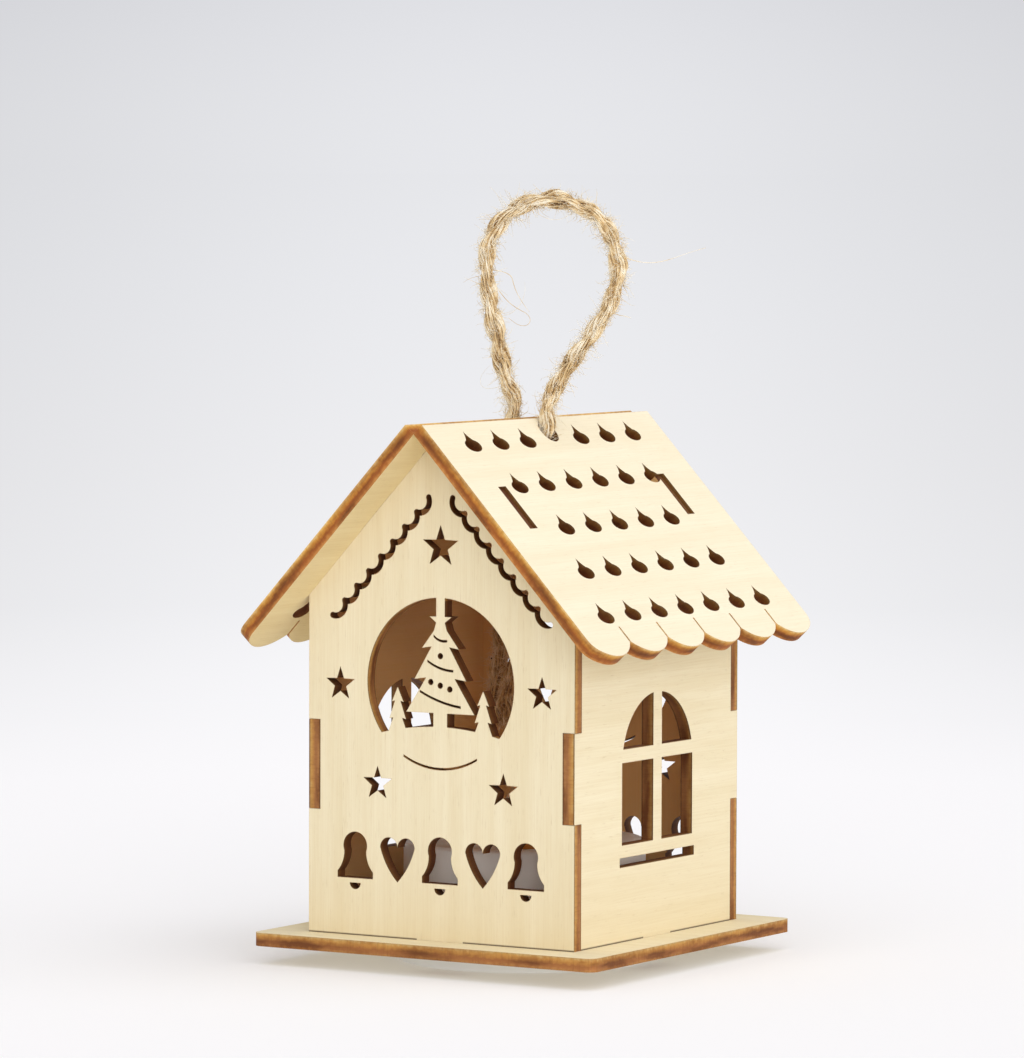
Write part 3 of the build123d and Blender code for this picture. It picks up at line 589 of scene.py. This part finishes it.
def amber(name):
    """Translucent amber plastic, denser towards its foot."""
    shader, surface = new_surface(name)
    place = shader.place()
    height = shader.dot(place, (0, 0, 1))
    swirl = shader.times(shader.noise(place, scale=0.5), 3.0)
    level = shader.between(shader.plus(height, swirl), flame_foot / mm, flame_top / mm)
    shader.put(surface["Base Color"], shader.ramp(level, flame_tones))
    surface["Transmission Weight"].default_value = 0.55
    surface["Roughness"].default_value = 0.28
    surface["IOR"].default_value = 1.45
    texture = shader.noise(place, scale=1.2)
    shader.put(surface["Normal"], shader.bump(texture, flame_relief, 0.3))
    return shader.owner


def clear_lamp(name):
    """Warm clear epoxy."""
    shader, surface = new_surface(name)
    cloud = shader.noise(shader.place(), scale=0.8)
    shader.put(surface["Base Color"], shader.mix(cloud, *lamp_tones))
    surface["Transmission Weight"].default_value = 0.8
    surface["Roughness"].default_value = 0.08
    surface["IOR"].default_value = 1.52
    return shader.owner


def metal(name, colour, roughness, direction):
    """Brushed or rolled metal, with its lines along a direction."""
    shader, surface = new_surface(name)
    along, across = metal_stretch
    scales = [along if part else across for part in direction]
    parts = shader.add("SeparateXYZ", {0: shader.place()}).outputs
    scaled = [shader.times(part, scale) for part, scale in zip(parts, scales)]
    lines = shader.noise(shader.vector(*scaled), detail=3.0)
    dull = tuple(metal_dull_share * value for value in colour)
    shader.put(surface["Base Color"], shader.mix(shader.between(lines, 0.3, 0.7), colour, dull))
    surface["Metallic"].default_value = 1.0
    shader.put(surface["Roughness"], shader.between(lines, 0.3, 0.7, roughness, roughness + 0.14))
    shader.put(surface["Normal"], shader.bump(lines, metal_relief, 0.5))
    return shader.owner


def dress(node, material):
    """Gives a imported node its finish."""
    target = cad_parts[node]
    if not target.material_slots:
        target.data.materials.append(material)
    for slot in target.material_slots:
        slot.material = material


def even_line(line, step):
    """The same line with its points a steady step apart, and how far along it each lies."""
    gaps = np.linalg.norm(np.diff(line, axis=0), axis=1)
    along = np.concatenate([[0.0], np.cumsum(gaps)])
    places = np.linspace(0, along[-1], int(along[-1] / step) + 1)
    even = np.stack([np.interp(places, along, part) for part in line.T], axis=1)
    return even, places


def route_line(points):
    """The smooth line of a cord's route."""
    curve = bpy.data.curves.new("route", "CURVE")
    curve.dimensions = "3D"
    curve.resolution_u = route_steps
    spline = curve.splines.new("NURBS")
    spline.points.add(len(points) - 1)
    for control, point in zip(spline.points, points):
        control.co = (*point, 1.0)
    spline.order_u = 3
    spline.use_endpoint_u = True
    holder = bpy.data.objects.new("route", curve)
    bpy.context.scene.collection.objects.link(holder)
    bpy.context.view_layer.update()
    mesh = bpy.data.meshes.new_from_object(holder)
    line = np.array([vertex.co for vertex in mesh.vertices])
    bpy.data.objects.remove(holder)
    bpy.data.curves.remove(curve)
    bpy.data.meshes.remove(mesh)
    return line


def frames_along(line):
    """Two directions square to the line at each point, which don't spin about it."""
    tangents = np.gradient(line, axis=0)
    tangents /= np.linalg.norm(tangents, axis=1)[:, None]
    x, y = np.array((1.0, 0.0, 0.0)), np.array((0.0, 1.0, 0.0))
    too_parallel = 0.9
    side = y if abs(tangents[0] @ y) < too_parallel else x
    sides = []
    for tangent in tangents:
        side = side - tangent * (side @ tangent)
        side = side / np.linalg.norm(side)
        sides.append(side)
    sides = np.array(sides)
    return sides, np.cross(tangents, sides)


def around(turn, sides, ups):
    """The direction at each point that lies a turn round from its side."""
    return np.cos(turn)[:, None] * sides + np.sin(turn)[:, None] * ups


class Bundle:
    """Tubes gathered into one mesh, each with a tone."""

    def __init__(self):
        self.points = []
        self.faces = []
        self.tones = []

    def tube(self, centres, sides, ups, radii, corners, tone):
        """A tube along a line of centres, closed at both ends."""
        turns = 2 * math.pi * np.arange(corners) / corners
        spokes = (np.cos(turns)[None, :, None] * sides[:, None, :]
                  + np.sin(turns)[None, :, None] * ups[:, None, :])
        rings = centres[:, None, :] + np.broadcast_to(radii, len(centres))[:, None, None] * spokes
        first = len(self.points)
        self.points.extend(rings.reshape(-1, 3).tolist())
        count = len(centres)
        last = first + (count - 1) * corners
        for here in range(first, last, corners):
            there = here + corners
            for corner in range(corners):
                beside = (corner + 1) % corners
                self.faces.append((here + corner, here + beside, there + beside, there + corner))
        self.faces.append(tuple(first + corner for corner in reversed(range(corners))))
        self.faces.append(tuple(last + corner for corner in range(corners)))
        self.tones.extend([tone] * (count * corners))

    def piece(self, name, material):
        """The bundle as one piece of the house's twine."""
        mesh = bpy.data.meshes.new(name)
        mesh.from_pydata(self.points, [], self.faces)
        mesh.materials.append(material)
        attribute = mesh.attributes.new("tone", "FLOAT", "POINT")
        attribute.data.foreach_set("value", self.tones)
        mesh.shade_smooth()
        piece = bpy.data.objects.new(name, mesh)
        bpy.context.scene.collection.objects.link(piece)
        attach(piece, "house")
        return piece


def wander(chance, along, spacing, amount):
    """A smooth random value along a line, each way up to an amount."""
    knots = np.arange(0, along[-1] + 2 * spacing, spacing)
    values = chance.uniform(-amount, amount, len(knots))
    return np.interp(along, knots, values)


def add_twine(bundle, line, chance, fray=0.0):
    """Two plies of many fibres along a line, frayed at its end if that is asked for."""
    line, along = even_line(line, twine_step)
    sides, ups = frames_along(line)
    length = along[-1]
    loose = np.clip((along - (length - fray_length)) / fray_length, 0, 1) ** 2 * fray
    swell = 1 + wander(chance, along, *swell_change)
    for ply_number in range(2):
        turn = 2 * math.pi * along / twine_pitch + math.pi * ply_number
        turn = turn + wander(chance, along, *turn_change)
        offset = ply_offset * swell * (1 + wander(chance, along, *offset_change)) * (1 + loose)
        centre = line + offset[:, None] * around(turn, sides, ups)
        last = len(line) - int(fray * fray_length * core_cut_share / twine_step)
        core = ply_core * swell
        bundle.tube(centre[:last], sides[:last], ups[:last], core[:last], core_corners, core_shade_tone)
        for fibre in range(fibre_count):
            own = 2 * math.pi * (fibre / fibre_count + along / fibre_pitch)
            own = own + wander(chance, along, *fibre_turn_change)
            reach = ply_reach * swell * (1 + wander(chance, along, *fibre_reach_change))
            place = centre + (reach * (1 + fray_spread * loose))[:, None] * around(own, sides, ups)
            radius = fibre_radius * chance.uniform(*fibre_widths)
            radius = radius * (1 + wander(chance, along, *fibre_width_change))
            cut = chance.uniform(0, fibre_cut_share) if fibre % whole_fibre_step else 0.0
            last = len(line) - int(cut * fray * fray_length / twine_step)
            tone = chance.uniform(*fibre_tones)
            bundle.tube(place[:last], sides[:last], ups[:last], radius[:last], fibre_corners, tone)


def add_hair(bundle, start, heading, length, curl, chance, steps):
    """One stray fibre from a point, bending steadily as it goes."""
    axis = np.cross(heading, chance.normal(size=3))
    axis /= np.linalg.norm(axis)
    points = [start]
    for _ in range(steps):
        bend = np.cross(axis, heading) * curl / steps
        heading = heading + bend + chance.normal(size=3) * hair_jitter
        heading = heading / np.linalg.norm(heading)
        points.append(points[-1] + heading * length / steps)
    points = np.array(points)
    if points[:, 2].max() > hair_top:
        return
    sides, ups = frames_along(points)
    radii = hair_radius * np.linspace(1.0, hair_tip_share, len(points))
    bundle.tube(points, sides, ups, radii, hair_corners, chance.uniform(*hair_tones))


def add_hairs(bundle, line, chance, count, shortest, longest, curl, steps):
    """Stray fibres that leave a stretch of twine on all sides."""
    line, _ = even_line(line, twine_step)
    sides, ups = frames_along(line)
    tangents = np.cross(sides, ups)
    for _ in range(count):
        place = chance.integers(len(line))
        turn = chance.uniform(0, 2 * math.pi)
        out = math.cos(turn) * sides[place] + math.sin(turn) * ups[place]
        heading = out + chance.uniform(-hair_lean, hair_lean) * tangents[place]
        heading = heading / np.linalg.norm(heading)
        start = line[place] + out * twine_diameter * hair_root_share
        length = chance.uniform(shortest, longest)
        add_hair(bundle, start, heading, length, chance.uniform(-curl, curl), chance, steps)


def add_strays(bundle, chance):
    """The long stray fibres of the loop that stand clear of it."""
    for points in stray_points:
        line, _ = even_line(route_line(points), twine_step)
        sides, ups = frames_along(line)
        radii = stray_radius * np.linspace(1.0, stray_tip_share, len(line))
        bundle.tube(line, sides, ups, radii, stray_corners, chance.uniform(*stray_tones))


def knot_lines():
    """The knot: two strands straight through, and one wrapped round them."""
    middle = (knot_top + knot_bottom) / 2
    high, low = knot_top + knot_overrun, knot_bottom - knot_overrun
    for x in (-knot_strand, knot_strand):
        yield np.array(((x, 0, high), (x, 0, middle), (x, 0, low)))
    share = np.linspace(0, 1, knot_steps)
    turn = 2 * math.pi * knot_turns * share
    tuck = np.clip(np.minimum(share, 1 - share) / tuck_share, 0, 1)
    radius = knot_wrap * (tucked_share + (1 - tucked_share) * np.sin(tuck * math.pi / 2))
    half = twine_diameter / 2
    height = (knot_top - half) + (knot_bottom - knot_top + 2 * half) * share
    yield np.stack([radius * np.cos(turn), radius * np.sin(turn), height], axis=1)


def make_jute():
    """The loop, the knot, the two tails and their stray fibres."""
    unshaded_jute = jute("jute", no_shade_tint)
    shaded_jute = jute("jute_inside", interior_shade_tint)
    chance = np.random.default_rng(jute_seed)
    routes = (
        ("jute_loop", loop_points, loop_length, "knot", 0.0),
        ("jute_tail_left", tail_left_points, tail_left_length, "bare", 1.0),
        ("jute_tail_right", tail_right_points, tail_right_length, "bare", 1.0),
    )
    knot_bundle = Bundle()
    for line in knot_lines():
        add_twine(knot_bundle, line, chance)
    knot = knot_bundle.piece("twine_knot", shaded_jute)
    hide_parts("jute_knot")
    for node, points, length, far_end, fray in routes:
        # the knot and the tails inside the house take painted shade
        finish = unshaded_jute if far_end == "knot" else shaded_jute
        line = route_line(points)
        bundle = Bundle()
        add_twine(bundle, line, chance, fray)
        twine = bundle.piece(node.replace("jute", "twine"), finish)
        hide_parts(node)
        hairs = Bundle()
        for share, shortest, longest, curl, steps in hair_kinds:
            count = int(share * int(length / mm))
            add_hairs(hairs, line, chance, count, shortest, longest, curl, steps)
        if far_end == "knot":
            add_strays(hairs, chance)
        fuzz = hairs.piece(node.replace("jute", "fuzz"), finish)


def dress_house():
    """The seven plywood pieces."""
    x, y, z = (1, 0, 0), (0, 1, 0), (0, 0, 1)
    base_low, base_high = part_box("base_plate")
    front_low, front_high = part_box("front_gable")
    rear_low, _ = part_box("rear_gable")
    left_low, left_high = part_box("left_wall")
    right_low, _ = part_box("right_wall")
    roof_low, roof_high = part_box("right_roof")
    down, out = math.sin(roof_pitch), math.cos(roof_pitch)
    ridge = roof_high.z - ply * out
    ridge_place = -ridge * down
    middle = (left_low.y + left_high.y) / 2
    room_half = (rear_low.y - front_high.y) / 2
    roof_half = (roof_high.y - roof_low.y) / 2
    gable_middle = (base_high.z + front_high.z) / 2
    gable_half = (front_high.z - base_high.z) / 2
    wall_start, wall_end = base_high.z + corner_margin, left_high.z - corner_margin
    walls = {
        "interior_shade": 0.75, "foot": (y, middle, base_high.z), "depth": 0.5, "dull": 0.4, "lines": 0.75,
        "cuts": (middle, room_half - end_margin, wall_start, wall_end),
    }
    gables = {
        "interior_shade": 0.75, "foot": (x, 0.0, base_high.z), "dull": 0.4, "lines": 0.6,
        "cuts": (gable_middle, gable_half, front_low.x + gable_margin, front_high.x - gable_margin),
        "ring": (ring_height, ring_radius),
    }
    roofs = {
        "interior_shade": 0.7, "pale": 0.25,
        "cuts": (0.0, roof_half - hole_margin, ridge_place + hole_start, ridge_place + hole_end),
        "room": (middle, room_half, ridge_place + room_end),
    }
    panels = (
        ("base_plate", x, y, z, base_low.z, {"dull": 0.28, "lines": 0.2}),
        ("front_gable", z, x, (0, -1, 0), -front_high.y, gables),
        ("rear_gable", z, x, y, rear_low.y, gables),
        ("left_wall", y, z, (-1, 0, 0), -left_high.x, walls),
        ("right_wall", y, z, x, right_low.x, walls),
        ("left_roof", y, (-out, 0, -down), (-down, 0, out), ridge * out, roofs),
        ("right_roof", y, (out, 0, -down), (down, 0, out), ridge * out, roofs),
    )
    for number, (node, grain, across, outward, inner_face, more) in enumerate(panels):
        seed = pattern_step * number
        dress(node, plywood("plywood_" + node, grain, across, outward, inner_face, seed, **more))


def dress_tealight():
    """The battery tealight."""
    shell = plastic("white_plastic", white, roughness=0.32)
    for node in ("tealight_shell", "tealight_lid", "battery_door"):
        dress(node, shell)
    dress("switch_slider", plastic("black_plastic", black, roughness=0.38))
    dress("flame", amber("amber_plastic"))
    dress("led", clear_lamp("lamp"))
    dress("coin_cell", metal("steel", steel, roughness=0.24, direction=(1, 0, 0)))
    plated = metal("spring_metal", tin, roughness=0.2, direction=(0, 1, 0))
    for node in ("contact_minus", "contact_plus", "led_leads"):
        dress(node, plated)


def middle_share(shader, direction):
    """1 in the middle of the backdrop's width, and 0 towards its sides."""
    level = (math.cos(camera_azimuth), math.sin(camera_azimuth), 0)
    aside = shader.math("ABSOLUTE", shader.dot(direction, level))
    return shader.between(aside, 0.0, backdrop_edge, 1.0, 0.0)


def make_floor():
    """A pale floor that keeps the shadow and fades into the background.

    It is clear from below, and lets light up to the object's underside.
    """
    shader = Shader(bpy.data.materials.new("floor"))
    shader.tree.nodes.clear()
    place = shader.add("TexCoord").outputs["Object"]
    away = shader.add("VectorMath", {0: place}, operation="LENGTH").outputs["Value"]
    far = shader.math("DIVIDE", away, shader.plus(away, 1.0))
    from_camera = shader.add("VectorMath", {0: place, 1: camera_place}, operation="SUBTRACT").outputs[0]
    direction = shader.add("VectorMath", {0: from_camera}, operation="NORMALIZE").outputs[0]
    gain = shader.between(far, 0.2, 0.43, floor_near_gain, floor_far_gain)
    bright = shader.plus(1.0, shader.times(middle_share(shader, direction), gain))
    backdrop = shader.ramp(far, floor_tones)
    lit = shader.add("BsdfDiffuse", {"Color": (*floor_tone, 1.0)}).outputs[0]
    painted = shader.add("Emission", {"Color": backdrop, "Strength": bright}).outputs[0]
    fade = shader.between(away, shadow_reach, shadow_end, floor_share, 1.0)
    shown = shader.either(shader.times(seen(shader), fade), lit, painted)
    clear = shader.add("BsdfTransparent").outputs[0]
    path = shader.add("LightPath").outputs
    below = shader.times(shader.add("NewGeometry").outputs["Backfacing"], path["Is Camera Ray"])
    near = shader.between(away, under_reach, under_end, 1.0, 0.0)
    under = shader.times(near, path["Is Diffuse Ray"])
    output = shader.add("OutputMaterial")
    shader.put(output.inputs["Surface"], shader.either(shader.highest(below, under), shown, clear))
    mesh = bpy.data.meshes.new("floor")
    corners = [(x * floor_reach, y * floor_reach, 0) for x, y in ((-1, -1), (1, -1), (1, 1), (-1, 1))]
    mesh.from_pydata(corners, [], [(0, 1, 2, 3)])
    mesh.materials.append(shader.owner)
    floor = bpy.data.objects.new("floor", mesh)
    bpy.context.scene.collection.objects.link(floor)


def make_world():
    """A pale world that lights evenly, with a painted sky where it is seen."""
    world = bpy.data.worlds.new("world")
    bpy.context.scene.world = world
    shader = Shader(world)
    shader.tree.nodes.clear()
    direction = shader.add("TexCoord").outputs["Generated"]
    height = shader.dot(direction, (0, 0, 1))
    sky = shader.ramp(shader.between(height, 0.0, sky_end), sky_tones)
    bright = shader.plus(1.0, shader.times(middle_share(shader, direction), sky_gain))
    even = {"Color": (1.0, 1.0, 1.0, 1.0), "Strength": ambient_level}
    light = shader.add("Background", even).outputs[0]
    painted = shader.add("Background", {"Color": sky, "Strength": bright}).outputs[0]
    output = shader.add("OutputWorld")
    shader.put(output.inputs["Surface"], shader.either(seen(shader), light, painted))


def make_lamps():
    """A soft lamp above and a weak one low in front."""
    lamps = (
        ("key", key_level, key_direction, key_softness),
        ("fill", fill_level, fill_direction, fill_softness),
    )
    for name, level, direction, softness in lamps:
        data = bpy.data.lights.new(name, "SUN")
        data.energy = level * math.pi
        data.angle = softness
        lamp = bpy.data.objects.new(name, data)
        lamp.rotation_mode = "QUATERNION"
        lamp.rotation_quaternion = Vector(direction).to_track_quat("Z", "Y")
        bpy.context.scene.collection.objects.link(lamp)


bpy.context.scene.view_settings.view_transform = "Standard"
make_camera()
make_jute()
dress_house()
dress_tealight()
make_floor()
make_world()
make_lamps()
